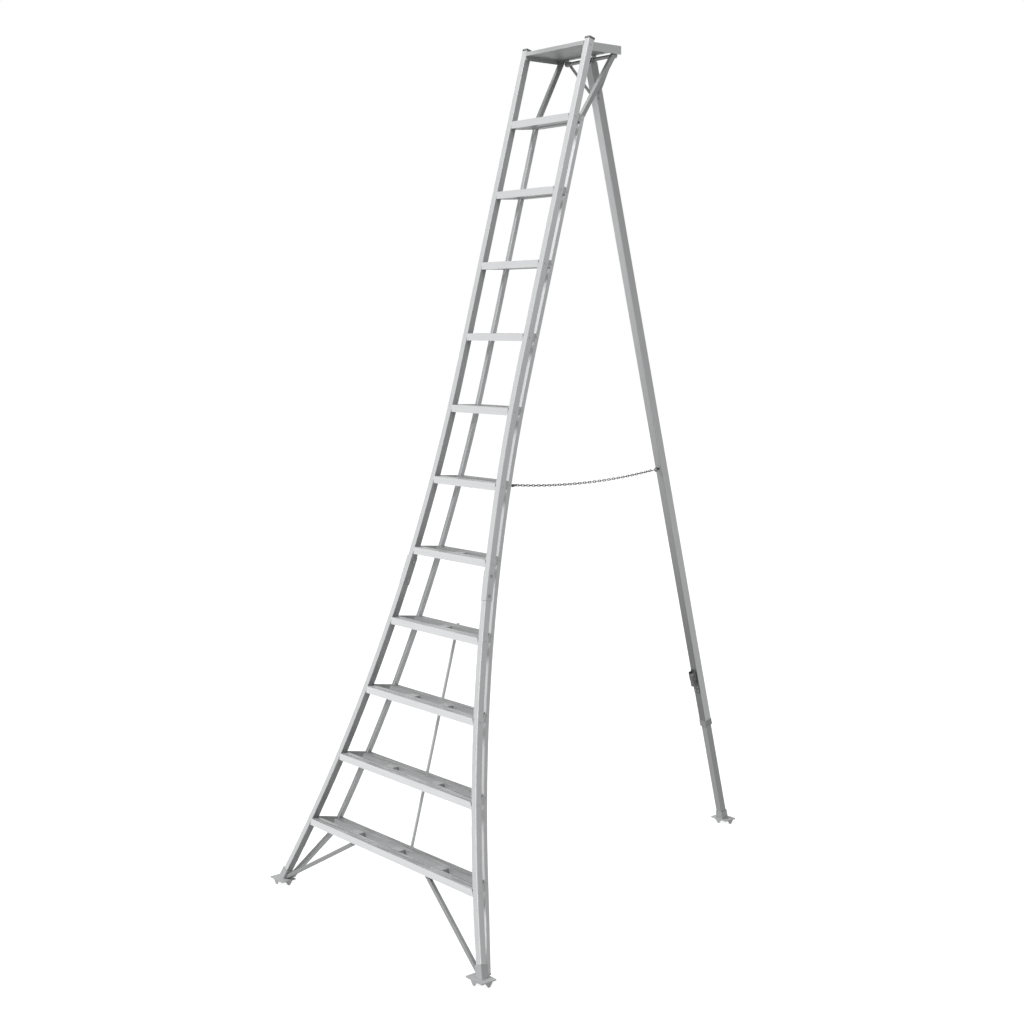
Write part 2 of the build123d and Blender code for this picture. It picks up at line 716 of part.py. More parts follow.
leg_plug = leg_tube - 2 * (leg_wall + socket_gap)
with BuildPart() as leg_cap:
    with BuildSketch(leg_plane(leg_head)):
        Rectangle(leg_plug, leg_tube)
    extrude(amount=-cap_wall)
    with BuildSketch(leg_plane(leg_head)):
        Rectangle(leg_plug, leg_plug)
    extrude(amount=cap_wall)
leg_cap.part.label = "leg_cap"
export_step(leg_cap.part, "parts/leg_cap.step")

# Stays: from a sleeve on the shaft to a tab bolted on the side of the leg. The stay's plane holds the
# shaft and the bolt, and in its sketch -y runs down the stay.
sleeve_start = ear_places[-1] - ear_thickness / 2 - stay_play - stay_sleeve
sleeve_middle = sleeve_start + stay_sleeve / 2
stay_fall = (stay_place - hinge).normalized()
stay_reach = (stay_place - hinge).length - stay_meet
stay_slant = atan2(sleeve_middle - leg_side, stay_reach)
stay_top_half = stay_width / 2 / cos(stay_slant)
stay_end_half = stay_width / 2 / sin(stay_slant)
stay_tab_shift = (stay_tab_width - stay_tab_length) / 2
with BuildPart() as leg_stays:
    with BuildSketch(Plane(origin=hinge + side_ways * sleeve_start, x_dir=(0, 1, 0), z_dir=(1, 0, 0))):
        Circle(shaft_radius + sleeve_wall)
    extrude(amount=stay_sleeve)
    with BuildSketch(Plane(origin=hinge, x_dir=side_ways, z_dir=stay_fall.cross(side_ways))):
        Polygon(
            (sleeve_middle - stay_top_half, 0), (sleeve_middle + stay_top_half, 0),
            (leg_side, -stay_reach - stay_end_half), (leg_side, -stay_reach + stay_end_half),
            align=None,
        )
    extrude(amount=stay_thickness / 2, both=True)
    with BuildSketch(Plane(origin=stay_place + side_ways * leg_side, x_dir=leg_front, z_dir=side_ways)):
        with Locations((0, stay_tab_shift)):
            SlotOverall(stay_tab_length, stay_tab_width, rotation=90)
    extrude(amount=stay_thickness)
    with Locations(Plane(origin=hinge, x_dir=(0, 1, 0), z_dir=(1, 0, 0))):
        Cylinder(hinge_hole, 4 * ear_places[-1], mode=Mode.SUBTRACT)
    with Locations(Plane(origin=stay_place, x_dir=(0, 1, 0), z_dir=(1, 0, 0))):
        Cylinder(stay_bolt_radius, 4 * leg_tube, mode=Mode.SUBTRACT)
    mirror(about=Plane.YZ)
leg_stays.part.label = "leg_stays"
export_step(leg_stays.part, "parts/leg_stays.step")

stay_grip = leg_side + stay_thickness
with BuildPart() as stay_bolt:
    with BuildSketch(Plane(origin=stay_place, x_dir=(0, 1, 0), z_dir=(1, 0, 0))):
        Circle(stay_bolt_radius - running)
    extrude(amount=stay_grip, both=True)
    for way in (-1, 1):
        head = stay_place + side_ways * (way * stay_grip)
        with BuildSketch(Plane(origin=head, x_dir=(0, 1, 0), z_dir=(way, 0, 0))):
            RegularPolygon(bolt_head_ratio * stay_bolt_radius, 6)
        extrude(amount=stay_bolt_radius)
stay_bolt.part.label = "stay_bolt"
export_step(stay_bolt.part, "parts/stay_bolt.step")

# Collar at the mouth of the outer leg tube
collar_size = leg_tube + 2 * (socket_gap + collar_wall)
collar_bore = leg_inner_tube + slide_gap
with BuildPart() as leg_collar:
    with BuildSketch(leg_plane(leg_outer_length - collar_height + collar_lip)):
        RectangleRounded(collar_size, collar_size, tube_corner + collar_wall)
    extrude(amount=collar_height)
    with BuildSketch(leg_plane(leg_outer_length - collar_height)):
        RectangleRounded(leg_tube + 2 * socket_gap, leg_tube + 2 * socket_gap, tube_corner)
    extrude(amount=collar_height, mode=Mode.SUBTRACT)
    with BuildSketch(leg_plane(leg_outer_length)):
        RectangleRounded(collar_bore, collar_bore, tube_corner)
    extrude(amount=collar_height, mode=Mode.SUBTRACT)
leg_collar.part.label = "leg_collar"
export_step(leg_collar.part, "parts/leg_collar.step")

# Inner leg tube, the guide on its top end and the rear foot
inner_start = leg_outer_length - leg_overlap
with BuildPart() as leg_inner:
    with BuildSketch(leg_plane(inner_start)):
        square_ring(leg_inner_tube, leg_wall, tube_corner)
    extrude(amount=leg_length - inner_start + leg_tube)
    split(bisect_by=Plane.XY.offset(pad_top), keep=Keep.TOP)
leg_inner.part.label = "leg_inner"
export_step(leg_inner.part, "parts/leg_inner.step")

guide_size = leg_tube - 2 * leg_wall - slide_gap
guide_height = leg_inner_tube / 2
with BuildPart() as leg_guide:
    with BuildSketch(leg_plane(inner_start)):
        RectangleRounded(guide_size, guide_size, tube_corner / 2)
    extrude(amount=-guide_height)
    with BuildSketch(leg_plane(inner_start)):
        plug = leg_inner_tube - 2 * (leg_wall + socket_gap)
        Rectangle(plug, plug)
    extrude(amount=guide_height)
leg_guide.part.label = "leg_guide"
export_step(leg_guide.part, "parts/leg_guide.step")

rear_socket_size = leg_inner_tube + 2 * (socket_gap + socket_wall)
with BuildPart() as rear_socket:
    with BuildSketch(leg_plane(leg_length - pad_top / cos(leg_lean) - socket_height)):
        square_ring(rear_socket_size, socket_wall, tube_corner)
    extrude(amount=2 * socket_height)
    split(bisect_by=Plane.XY.offset(pad_top), keep=Keep.TOP)
with BuildPart() as rear_foot:
    add(clawed_pad(Vector(0, rear_foot_y, 0)).part)
    add(rear_socket.part)
rear_foot.part.label = "rear_foot"
export_step(rear_foot.part, "parts/rear_foot.step")

# Cam lock: a bracket with two ears on the leg's front face, a pin and the lever with its cam
pin_out = leg_side + lock_pin_height
ear_inside = window_width / 2
with BuildPart() as lock_bracket:
    with BuildSketch(window):
        with Locations((0, -lock_plate_length / 4)):
            RectangleRounded(lock_plate_width, lock_plate_length, tube_corner)
        Rectangle(window_width, lock_window, mode=Mode.SUBTRACT)
    extrude(amount=lock_plate)
    for way in (-1, 1):
        ear_x = way * (ear_inside + lock_plate / 2)
        ear_origin = hinge + down_leg * lock_at + side_ways * ear_x
        with BuildSketch(Plane(origin=ear_origin, x_dir=down_leg, z_dir=side_ways)):
            with Locations((0, -leg_side - lock_ear_height / 2)):
                RectangleRounded(lock_ear_length, lock_ear_height, lock_plate)
            with Locations((0, -leg_side - lock_plate / 2)):
                Rectangle(lock_ear_length, lock_plate)
            with Locations((0, -pin_out)):
                Circle(lock_pin_radius + running, mode=Mode.SUBTRACT)
        extrude(amount=lock_plate / 2, both=True)
lock_bracket.part.label = "lock_bracket"
export_step(lock_bracket.part, "parts/lock_bracket.step")

pin_centre = hinge + down_leg * lock_at + leg_front * pin_out
pin_half = ear_inside + lock_plate + lock_pin_spare
with BuildPart() as lock_pin:
    with BuildSketch(Plane(origin=pin_centre, x_dir=down_leg, z_dir=side_ways)):
        Circle(lock_pin_radius)
    extrude(amount=pin_half, both=True)
lock_pin.part.label = "lock_pin"
export_step(lock_pin.part, "parts/lock_pin.step")

cam_offset = pin_out - leg_inner_tube / 2 - cam_clearance - cam_radius
lever_rise = cam_radius - cam_offset - lever_thickness
with BuildPart() as lock_lever:
    with BuildSketch(Plane(origin=pin_centre, x_dir=down_leg, z_dir=side_ways)):
        with Locations((0, cam_offset)):
            Circle(cam_radius)
        with Locations((lever_length / 2, -lever_rise - lever_thickness / 2)):
            RectangleRounded(lever_length, lever_thickness, lever_round)
        with Locations((cam_radius / 2, -lever_rise / 2)):
            Rectangle(cam_radius, lever_rise)
        Circle(lock_pin_radius + running, mode=Mode.SUBTRACT)
    extrude(amount=lever_width / 2, both=True)
lock_lever.part.label = "lock_lever"
export_step(lock_lever.part, "parts/lock_lever.step")

# Chain lug on the right rear rail: a stub with a disc that is square to the chain's swing axis
lug_height = step_heights[chain_step - 1] + bar_height / 2
lug_section = stile_section(slope_at(lug_height, rail_setback), rail_inset, rail_setback)
rail_back = lug_section.origin + back * (rear_rail / 2)
chain_pivot = rail_back + back * lug_standoff
leg_eye_drop = (hinge.Z - chain_pivot.Z) / cos(leg_lean)
leg_face = hinge + down_leg * leg_eye_drop + leg_front * leg_side
leg_eye = leg_face + leg_front * (eye_stem + eye_ring)
pull = (leg_eye - chain_pivot).normalized()
hang = -plumb
swing_level = pull.cross(hang).normalized()
swing_axis = swing_level * cos(chain_swing_tilt) + (pull + hang).normalized() * sin(chain_swing_tilt)
swing_axis = swing_axis.normalized()
lug_plane = Plane(origin=chain_pivot, x_dir=swing_axis.cross(back), z_dir=swing_axis)
with BuildPart() as chain_lug:
    with BuildSketch(lug_plane):
        Circle(lug_radius)
    extrude(amount=lug_thickness / 2, both=True)
    with BuildSketch(Plane(origin=rail_back, x_dir=lug_section.x_dir, z_dir=back)):
        Circle(lug_thickness)
    extrude(amount=lug_standoff - lug_radius / 2)
    with Locations(lug_plane):
        Cylinder(shackle_pin + running, 4 * lug_thickness, mode=Mode.SUBTRACT)
chain_lug.part.label = "chain_lug"
export_step(chain_lug.part, "parts/chain_lug.step")

# Shackle: a bow of round bar whose legs run along the chain, with a pin through the lug
bow_side = (swing_axis - pull * swing_axis.dot(pull)).normalized()
bow_back = shackle_half * swing_axis.dot(pull)
bow_half = shackle_half * swing_axis.dot(bow_side)
bow_plane = Plane(origin=chain_pivot, x_dir=pull, z_dir=pull.cross(bow_side))
with BuildPart() as chain_shackle:
    with BuildLine(bow_plane) as bow:
        Polyline((bow_back, bow_half), (shackle_reach - bow_half, bow_half))
        CenterArc((shackle_reach - bow_half, 0), bow_half, -90, 180)
        Polyline((shackle_reach - bow_half, -bow_half), (-bow_back, -bow_half))
    with BuildSketch(Plane(origin=chain_pivot + swing_axis * shackle_half, z_dir=pull)):
        Circle(shackle_bar)
    sweep(path=bow.wire())
    with BuildSketch(lug_plane):
        Circle(shackle_pin)
    extrude(amount=shackle_half + shackle_bar, both=True)
chain_shackle.part.label = "chain_shackle"
export_step(chain_shackle.part, "parts/chain_shackle.step")

# Eye on the front face of the leg: a stem with a ring that stands upright
with BuildPart() as leg_eye_part:
    with BuildSketch(Plane(origin=leg_face, x_dir=side_ways, z_dir=leg_front)):
        Circle(eye_base)
    extrude(amount=eye_stem + eye_wire)
    eye_plane = Plane(origin=leg_eye, x_dir=leg_front, z_dir=side_ways)
    with Locations(eye_plane):
        Torus(eye_ring - eye_wire, eye_wire)
leg_eye_part.part.label = "leg_eye"
export_step(leg_eye_part.part, "parts/leg_eye.step")

# S-hook between the eye and the last link: a large bend round the eye and a small one in the link
eye_bar = leg_eye + leg_front * (eye_ring - eye_wire)
hook_middle = eye_bar - pull * (hook_radius - hook_wire - eye_wire - hook_slack)
hook_plane = Plane(origin=hook_middle, x_dir=-pull, z_dir=pull.cross(plumb).cross(pull))
hook_cross = asin((hook_radius + hook_small) / hook_span)
hook_sweep = 180 - hook_opening + degrees(hook_cross)
with BuildLine(hook_plane) as hook_line:
    CenterArc((0, 0), hook_radius, 90 + hook_opening, hook_sweep)
    Line(
        (hook_radius * sin(hook_cross), -hook_radius * cos(hook_cross)),
        (hook_span - hook_small * sin(hook_cross), hook_small * cos(hook_cross)),
    )
    CenterArc((hook_span, 0), hook_small, 90 + degrees(hook_cross), -hook_sweep)
hook_path = hook_line.wire()
with BuildPart() as chain_hook:
    with BuildSketch(Plane(origin=hook_path @ 0, z_dir=hook_path % 0)):
        Circle(hook_wire)
    sweep(path=hook_path)
chain_hook.part.label = "chain_hook"
export_step(chain_hook.part, "parts/chain_hook.step")

# Chain links: each turned a quarter from the last, along the line in which the chain sags
chain_start = chain_pivot + pull * (shackle_reach - shackle_bar)
chain_end = hook_middle - pull * (hook_span + hook_small - hook_wire)
chain_run = chain_end - chain_start
run_length = chain_run.length + 8 * chain_sag**2 / (3 * chain_run.length)
link_count = 2 * max(1, round(run_length / chain_pitch / 2)) + 1
link_pitch = run_length / link_count
link_inside = link_pitch + chain_play
bow_radius = (chain_width - chain_wire) / 2
straight = link_inside + chain_wire - 2 * bow_radius
with BuildPart() as chain_link:
    with BuildLine(Plane.XY) as link_line:
        Polyline((-straight / 2, -bow_radius), (straight / 2, -bow_radius))
        CenterArc((straight / 2, 0), bow_radius, -90, 180)
        Polyline((straight / 2, bow_radius), (-straight / 2, bow_radius))
        CenterArc((-straight / 2, 0), bow_radius, 90, 180)
    with BuildSketch(Plane(origin=(0, -bow_radius, 0), z_dir=(1, 0, 0))):
        Circle(chain_wire / 2)
    sweep(path=link_line.wire())
with BuildPart() as chain_links:
    for number in range(link_count):
        share = (number + 0.5) / link_count
        centre = chain_start + chain_run * share - Vector(0, 0, 4 * chain_sag * share * (1 - share))
        along = (chain_run - Vector(0, 0, 4 * chain_sag * (1 - 2 * share))).normalized()
        level = along.cross(plumb).normalized()
        below = along.cross(level)
        bow_turn = atan2(bow_side.dot(below), bow_side.dot(level))
        turn = bow_turn * (1 - share) + radians(180) * share + radians(90) * (number % 2)
        face = level * cos(turn) + below * sin(turn)
        with Locations(Plane(origin=centre, x_dir=along, z_dir=face)):
            add(chain_link.part)
chain_links.part.label = "chain_links"
export_step(chain_links.part, "parts/chain_links.step")
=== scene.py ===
import json
from math import atan, pi, radians

import bpy
import numpy as np
from mathutils import Matrix, Vector


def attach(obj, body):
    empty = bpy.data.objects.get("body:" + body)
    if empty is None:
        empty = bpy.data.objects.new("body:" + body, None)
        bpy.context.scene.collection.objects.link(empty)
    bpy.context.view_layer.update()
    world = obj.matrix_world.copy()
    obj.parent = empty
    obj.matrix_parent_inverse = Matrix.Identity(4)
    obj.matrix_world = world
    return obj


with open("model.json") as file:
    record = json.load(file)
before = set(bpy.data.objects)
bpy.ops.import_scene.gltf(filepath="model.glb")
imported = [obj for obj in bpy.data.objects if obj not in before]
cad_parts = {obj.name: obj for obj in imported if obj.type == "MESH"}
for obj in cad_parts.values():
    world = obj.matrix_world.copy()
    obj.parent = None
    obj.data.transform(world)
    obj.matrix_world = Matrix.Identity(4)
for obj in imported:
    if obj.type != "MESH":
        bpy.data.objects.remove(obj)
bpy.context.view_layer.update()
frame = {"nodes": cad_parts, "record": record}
nodes = frame["nodes"]
joints = {joint["name"]: joint for joint in frame["record"]["behaviour"]["joints"]}

# The studio: a white sweep under an even sky. The floor and the sky show as plain white, and light the
# ladder at a lower level, so that its pale tubes keep their shading.
scene = bpy.context.scene
scene.view_settings.view_transform = "Standard"


class Wire:
    """A shader value. Sums, differences and products of it add Math nodes to its tree."""

    def __init__(self, tree, socket=None):
        self.tree = tree
        self.socket = socket

    def node(self, kind, settings, inputs, output=0):
        """Any other node: its type, its settings, and the values or links of its sockets."""
        made = self.tree.nodes.new(kind)
        for key, value in settings.items():
            setattr(made, key, value)
        for key, value in inputs.items():
            if isinstance(value, Wire):
                self.tree.links.new(value.socket, made.inputs[key])
            else:
                made.inputs[key].default_value = value
        return Wire(self.tree, made.outputs[output])

    def maths(self, operation, first, second=0.0):
        """A Math node on one or two values."""
        return self.node("ShaderNodeMath", {"operation": operation}, {0: first, 1: second})

    def blend(self, share, first, second):
        """A colour between two others."""
        return self.node("ShaderNodeMix", {"data_type": "RGBA"}, {0: share, 6: first, 7: second}, 2)

    def part(self, vector, axis):
        """One of the three numbers of a vector."""
        return self.node("ShaderNodeSeparateXYZ", {}, {0: vector}, axis)

    def slope(self, value, low, high):
        """0 where a value is at low or beyond it, 1 at high or beyond it, and even between them."""
        inputs = {"Value": value, "From Min": low, "From Max": high}
        return self.node("ShaderNodeMapRange", {"clamp": True}, inputs)

    def noise(self, vector, scale, detail):
        """Noise on a vector."""
        return self.node("ShaderNodeTexNoise", {}, {"Vector": vector, "Scale": scale, "Detail": detail})

    def __add__(self, other):
        return self.maths("ADD", self, other)

    def __rsub__(self, other):
        return self.maths("SUBTRACT", other, self)

    def __mul__(self, other):
        return self.maths("MULTIPLY", self, other)


def seen_rays(tree):
    """1 for the rays that show a background: camera, glossy and transmission rays."""
    start = Wire(tree)
    camera, glossy, through = [
        start.node("ShaderNodeLightPath", {}, {}, f"Is {kind} Ray")
        for kind in ("Camera", "Glossy", "Transmission")
    ]
    return start.maths("MAXIMUM", start.maths("MAXIMUM", camera, glossy), through)


SKY_STRENGTH = 0.34
world = bpy.data.worlds.new("white_sky")
world.use_nodes = True
scene.world = world
sky_tree = world.node_tree
sky_light = seen_rays(sky_tree) * (1 - SKY_STRENGTH) + SKY_STRENGTH
sky_shader = sky_tree.nodes["Background"]
sky_shader.inputs["Color"].default_value = (1, 1, 1, 1)
sky_tree.links.new(sky_light.socket, sky_shader.inputs["Strength"])

FLOOR_HALF = 30.0
FLOOR_TONE = 0.35
FLOOR_ROUGHNESS = 0.9
FLOOR_GLOW = 0.90
floor_corners = [(x * FLOOR_HALF, y * FLOOR_HALF, 0) for x, y in ((-1, -1), (1, -1), (1, 1), (-1, 1))]
floor_mesh = bpy.data.meshes.new("studio_floor")
floor_mesh.from_pydata(floor_corners, [], [(0, 1, 2, 3)])
floor = bpy.data.objects.new("studio_floor", floor_mesh)
scene.collection.objects.link(floor)
floor_paint = bpy.data.materials.new("studio_floor")
floor_paint.use_nodes = True
floor_tree = floor_paint.node_tree
floor_shader = floor_tree.nodes["Principled BSDF"]
floor_shader.inputs["Base Color"].default_value = (FLOOR_TONE, FLOOR_TONE, FLOOR_TONE, 1)
floor_shader.inputs["Roughness"].default_value = FLOOR_ROUGHNESS
floor_shader.inputs["Specular IOR Level"].default_value = 0.0
floor_seen = seen_rays(floor_tree)
floor_plain = Wire(floor_tree, floor_shader.outputs[0])
floor_glow = floor_seen.node("ShaderNodeEmission", {}, {"Strength": FLOOR_GLOW})
floor_both = floor_seen.node("ShaderNodeAddShader", {}, {0: floor_plain, 1: floor_glow})
floor_pick = floor_seen.node("ShaderNodeMixShader", {}, {0: floor_seen, 1: floor_plain, 2: floor_both})
floor_tree.links.new(floor_pick.socket, floor_tree.nodes["Material Output"].inputs["Surface"])
floor_mesh.materials.append(floor_paint)


def soft_box(name, place, aim, width, power):
    """A square studio lamp at a place, facing a point, that the camera doesn't see."""
    lamp = bpy.data.lights.new(name, "AREA")
    lamp.size = width
    lamp.energy = power
    holder = bpy.data.objects.new(name, lamp)
    holder.location = place
    holder.rotation_euler = (Vector(aim) - Vector(place)).to_track_quat("-Z", "Y").to_euler()
    holder.visible_camera = False
    scene.collection.objects.link(holder)


# Lamps: a large one far off in front of the steps, so that the top and the bottom are lit alike, and a
# small one that lifts the right-hand faces near the top.
soft_box("front_lamp", place=(-7.2, -13.2, 15.0), aim=(0.0, 0.0, 1.8), width=8.0, power=3180.0)
soft_box("side_lamp", place=(4.5, -1.2, 6.0), aim=(0.1, 0.0, 3.2), width=1.8, power=72.0)

# The camera stands to the right of the climber, a little below the top of the ladder, and looks slightly
# down.
CAMERA_PLACE = Vector((5.0430, -4.5293, 2.4580))
CAMERA_AHEAD = Vector((-0.7608, 0.6375, -0.1214))
CAMERA_UP = Vector((-0.0903, 0.0813, 0.9926))
FOCAL_PIXELS = 1554.8
FRAME_PIXELS = 1024
SENSOR = 36.0
CAMERA_REACH = 100.0
camera = bpy.data.cameras.new("camera")
camera.sensor_fit = "HORIZONTAL"
camera.sensor_width = SENSOR
camera.lens = FOCAL_PIXELS / FRAME_PIXELS * SENSOR
camera.clip_end = CAMERA_REACH
camera_holder = bpy.data.objects.new("camera", camera)
camera_side = CAMERA_AHEAD.cross(CAMERA_UP).normalized()
camera_top = camera_side.cross(CAMERA_AHEAD).normalized()
camera_turn = Matrix((camera_side, camera_top, -CAMERA_AHEAD.normalized())).transposed()
camera_holder.matrix_world = Matrix.Translation(CAMERA_PLACE) @ camera_turn.to_4x4()
scene.collection.objects.link(camera_holder)
scene.camera = camera_holder

# Stiles: front tubes and rear rails of drawn aluminium, left as they come from the mill. Each has fine
# lines along its length from the die. The faces of the front tubes that look to the middle of the ladder
# carry painted shade, darker towards the ground, and their front faces are darker high up.
STILE_LEAN = radians(15.6)
GRAIN_ACROSS = 260.0
GRAIN_ALONG = 1.6
TUBE_GRAIN = (GRAIN_ACROSS, GRAIN_ACROSS, GRAIN_ALONG)
LINE_SHARE = 0.65
LINE_ROUGHNESS = 0.16
DARK_METAL = (0.86, 0.87, 0.88)
PALE_METAL = (1.10, 1.11, 1.12)
# The colour that dirt and painted shade darken the metal towards.
DIRT_AND_SHADE = (0.03, 0.03, 0.03, 1)


def drawn_metal(name, grain, tone, tilt=0.0, shine=0.15, rough=0.40, dirt_and_shade=None):
    """Drawn metal: noise on Object coordinates, turned by tilt about X and stretched along the grain.

    The last argument takes the start, the place and the facing, and gives the share of the colour that dirt
    and painted shade take away.
    """
    paint = bpy.data.materials.new(name)
    paint.use_nodes = True
    tree = paint.node_tree
    shader = tree.nodes["Principled BSDF"]
    start = Wire(tree)
    place = start.node("ShaderNodeTexCoord", {}, {}, "Object")
    facing = start.node("ShaderNodeNewGeometry", {}, {}, "Normal")
    turned = start.node("ShaderNodeMapping", {}, {"Vector": place, "Rotation": (tilt, 0, 0)})
    stretched = start.node("ShaderNodeMapping", {}, {"Vector": turned, "Scale": grain})
    lines = start.noise(stretched, scale=1.0, detail=3.0)
    clouds = start.noise(place, scale=7.0, detail=2.0)
    dark, pale = [(*(tone * part for part in shade), 1) for shade in (DARK_METAL, PALE_METAL)]
    colour = start.blend(lines * LINE_SHARE + clouds * (1 - LINE_SHARE), dark, pale)
    if dirt_and_shade:
        colour = start.blend(dirt_and_shade(start, place, facing), colour, DIRT_AND_SHADE)
    tree.links.new(colour.socket, shader.inputs["Base Color"])
    roughness = lines * LINE_ROUGHNESS + (rough - LINE_ROUGHNESS / 2)
    tree.links.new(roughness.socket, shader.inputs["Roughness"])
    shader.inputs["Metallic"].default_value = shine
    bump = start.node("ShaderNodeBump", {}, {"Height": lines, "Strength": 0.25, "Distance": 0.0004})
    tree.links.new(bump.socket, shader.inputs["Normal"])
    return paint


def paint_nodes(paint, *names):
    """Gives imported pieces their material."""
    for name in names:
        for holder in nodes[name].material_slots:
            holder.material = paint


def inner_faces(start, place, facing):
    """Painted shade on the faces that look to the middle of the ladder, darker lower down, and the front
    faces darker high up.
    """
    side = start.maths("SIGN", start.part(place, 0))
    inward = start.slope(side * start.part(facing, 0), -0.4, -0.8)
    low = start.slope(start.part(place, 2), 3.4, 0.6)
    front = start.slope(start.part(facing, 1), -0.7, -0.9)
    high = start.slope(start.part(place, 2), 1.4, 3.0)
    return inward * (low * 0.16 + 0.34) + front * high * 0.26


stile_metal = drawn_metal("stile_metal", TUBE_GRAIN, tone=0.63, tilt=-STILE_LEAN, dirt_and_shade=inner_faces)
rail_metal = drawn_metal("rail_metal", TUBE_GRAIN, tone=0.60, tilt=-STILE_LEAN)
for side in ("left", "right"):
    paint_nodes(stile_metal, f"{side}_front_tube_lower", f"{side}_front_tube_upper")
    paint_nodes(rail_metal, f"{side}_rear_rail")

# Splice sleeves: short lengths of thin tube, bolted over the joint of the two front tubes. They are sawn
# from stock of the same metal, and a little rougher.
# The sleeves' faces that look to the middle of the ladder carry the same painted shade as the front tubes.
sleeve_metal = drawn_metal(
    "sleeve_metal", TUBE_GRAIN, tone=0.61, tilt=-STILE_LEAN, rough=0.46, dirt_and_shade=inner_faces
)
paint_nodes(sleeve_metal, "splice_sleeves")

# Leg: an outer and an inner tube of drawn aluminium, with two flat stays. The face that looks at the
# steps carries painted shade, darker towards the ground, and the other faces darken towards the top.
LEG_AXIS = Vector(joints["leg_extend"]["axis"])
LEG_LEAN = atan(-LEG_AXIS.y / LEG_AXIS.z)


def leg_faces(start, place, facing):
    """Painted shade on the front face that grows downwards, and a thin darkening on the others that grows
    upwards.
    """
    front = start.slope(start.part(facing, 1), -0.5, -0.8)
    height = start.part(place, 2)
    on_front = front * start.slope(height, 3.0, 0.9)
    on_sides = (1.0 - front) * start.slope(height, 1.4, 3.4)
    return on_front * 0.74 + on_sides * 0.46


leg_metal = drawn_metal("leg_metal", TUBE_GRAIN, tone=0.66, tilt=LEG_LEAN, dirt_and_shade=leg_faces)
paint_nodes(leg_metal, "leg_outer")
inner_metal = drawn_metal("inner_metal", TUBE_GRAIN, tone=0.36, tilt=LEG_LEAN, shine=0.2, rough=0.42)
paint_nodes(inner_metal, "leg_inner")
stay_metal = drawn_metal("stay_metal", (60.0,) * 3, tone=0.40, shine=0.2, rough=0.45)
paint_nodes(stay_metal, "leg_stays")

# Collar at the mouth of the outer leg tube: a moulded sleeve that guides the inner tube. It is as dull as
# the tube that slides in it.
collar_metal = drawn_metal("collar_metal", (80.0,) * 3, tone=0.32, shine=0.1, rough=0.50)
paint_nodes(collar_metal, "leg_collar")

# Steps: ribbed extrusions cut to length, a front and a rear bar to each step, riveted between the stiles.
# Painted shade lies in streaks on their tops, for the shadow between the ribs, on their undersides and in
# the gap between the two bars, and their front faces stay bright, a little darker high up.
FACE_STARTS = 0.7
FACE_FULL = 0.95
STEP_GRAIN = (GRAIN_ALONG, GRAIN_ACROSS, GRAIN_ACROSS)


def looks_along(start, facing, axis, way):
    """1 on the faces that look along an axis, one way or the other."""
    return start.slope(start.part(facing, axis), way * FACE_STARTS, way * FACE_FULL)


def streaks(start, place, stretch, low, high):
    """Noise stretched along the steps, from 0 at one level of it to 1 at another."""
    long = start.node("ShaderNodeMapping", {}, {"Vector": place, "Scale": stretch})
    return start.slope(start.noise(long, scale=1.0, detail=4.0), low, high)


def painted_step_shade(start, place, facing):
    """Painted shade on the upward faces, in streaks, for the shadow between the ribs, and on the undersides,
    and the front faces darker high up.
    """
    top = looks_along(start, facing, 2, 1)
    under = looks_along(start, facing, 2, -1)
    front = looks_along(start, facing, 1, -1)
    high = start.slope(start.part(place, 2), 0.8, 3.2)
    on_top = streaks(start, place, (6.0, 120.0, 2.0), 0.36, 0.64) * 0.34 + 0.56
    return top * on_top + under * 0.62 + front * high * 0.22


def behind(start, place, facing):
    """The painted shade of the front bars, and more painted shade on the front faces, in the gap between the
    two bars.
    """
    return painted_step_shade(start, place, facing) + looks_along(start, facing, 1, -1) * 0.50


front_bar_metal = drawn_metal("front_bar_metal", STEP_GRAIN, tone=0.84, dirt_and_shade=painted_step_shade)
rear_bar_metal = drawn_metal("rear_bar_metal", STEP_GRAIN, tone=0.84, dirt_and_shade=behind)
paint_nodes(front_bar_metal, *(name for name in nodes if name.endswith("_front_bar")))
paint_nodes(rear_bar_metal, *(name for name in nodes if name.endswith("_rear_bar")))


# Platform: four ribbed planks and two flat side frames, of the same metal as the steps but greyer,
# because they are stood on and have weathered. They are riveted to the front tubes.
def weathered(start, place, facing):
    """A film in streaks along the planks."""
    return streaks(start, place, (3.0, 70.0, 8.0), 0.35, 0.65) * 0.30


plank_metal = drawn_metal("plank_metal", STEP_GRAIN, tone=0.56, rough=0.5, dirt_and_shade=weathered)
paint_nodes(plank_metal, "platform_planks")
frame_metal = drawn_metal("frame_metal", STEP_GRAIN, tone=0.50, rough=0.45)
paint_nodes(frame_metal, "platform_frames")

# Links and spacers: hollow blocks sawn from a bar, riveted or welded between the front and rear pieces.
# Braces: thin square tube, given a darker tone as painted shade.
block_metal = drawn_metal("block_metal", (60.0,) * 3, tone=0.40, rough=0.48)
paint_nodes(block_metal, "step_links", "step_spacers")
brace_metal = drawn_metal("brace_metal", (60.0,) * 3, tone=0.34, rough=0.48)
paint_nodes(brace_metal, "foot_braces", "platform_braces")

# Feet: aluminium plate, cut and bent into pads with claws, with a short collar welded on that the tube
# stands in. They are rough and dull from the ground.
foot_metal = drawn_metal("foot_metal", (25.0,) * 3, tone=0.46, rough=0.52)
paint_nodes(foot_metal, "front_feet", "rear_foot")

# Welds: beads of aluminium round the foot collars, the toes of the rear rails and the ends of the braces.
# Each is a row of small overlapping ripples, a little darker than the metal beside it.
PAD_TOP = 0.022
STEP_UNDER = 0.280
RAIL_TOP = 3.310
PLANK_UNDER = 3.592
COLLAR_X = 0.69771
COLLAR_Y = -1.04386
REAR_COLLAR_Y = 1.04445
COLLAR_NEAR = 0.032
LEVEL_NEAR = 0.0002
BEAD_RADIUS = 0.0022
BEAD_STEP = 0.0006
BEAD_SIDES = 10
RIPPLE_WAVE = 0.003
RIPPLE_HEIGHT = 0.16


